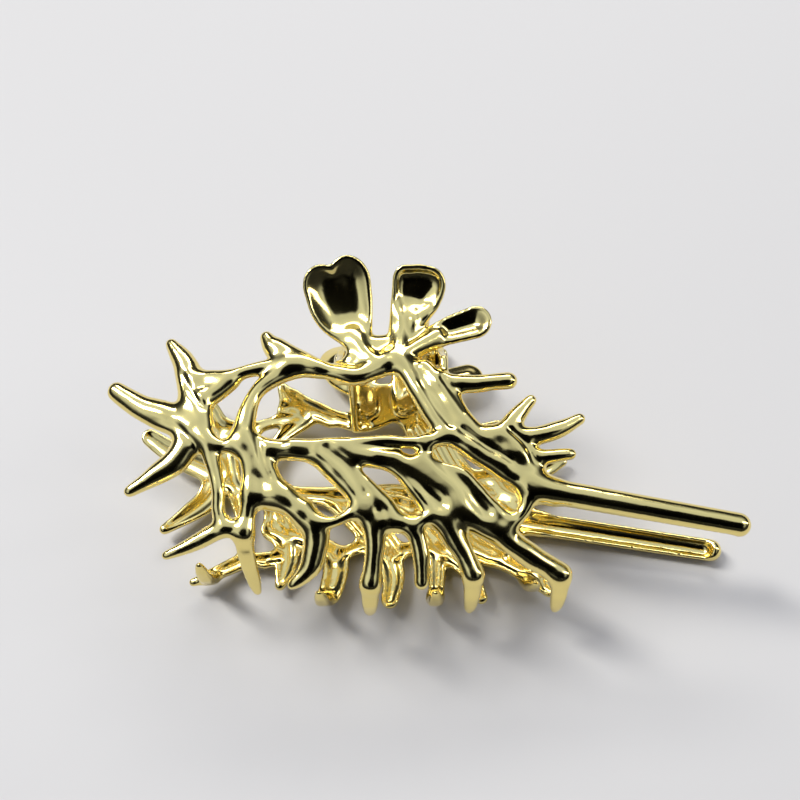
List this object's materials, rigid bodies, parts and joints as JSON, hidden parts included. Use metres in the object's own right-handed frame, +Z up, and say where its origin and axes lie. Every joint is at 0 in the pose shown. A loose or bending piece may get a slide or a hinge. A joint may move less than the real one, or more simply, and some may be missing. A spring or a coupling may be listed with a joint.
{
  "type": "claw clip",
  "caption": "Cast metal claw clip for hair: two openwork jaws with spiky branches, thumb petals, teeth and a long stem, hinged on a pin and closed by a torsion spring.",
  "frame": {"origin": "bottom centre of the closed clip's box, on the surface that its rear jaw rests on", "axes": "+X along the clip from the spiked lobe to the stems, +Y from the teeth to the thumb petals, +Z up from the rear jaw to the front jaw"},
  "size_m": [0.1006, 0.0584, 0.0346],
  "materials": {
    "gold": "mirror-polished pale gold plating",
    "pin_steel": "gold-washed steel",
    "spring_wire": "gold-washed spring wire"
  },
  "bodies": {
    "rear": {"rear_jaw": "gold", "hinge_pin": "pin_steel", "torsion_spring": "spring_wire"},
    "front": {"front_jaw": "gold"}
  },
  "joints": [
    {"name": "jaw_hinge", "type": "hinge", "parent": "rear", "child": "front", "pos_m": [-0.004, 0.01509, 0.01573], "axis": [-0.9995, 0, 0.0328], "range_deg": [0, 50], "stiffness_Nm_per_rad": 0.17, "springref_deg": -68.75, "deforming": ["torsion_spring"]}
  ]
}
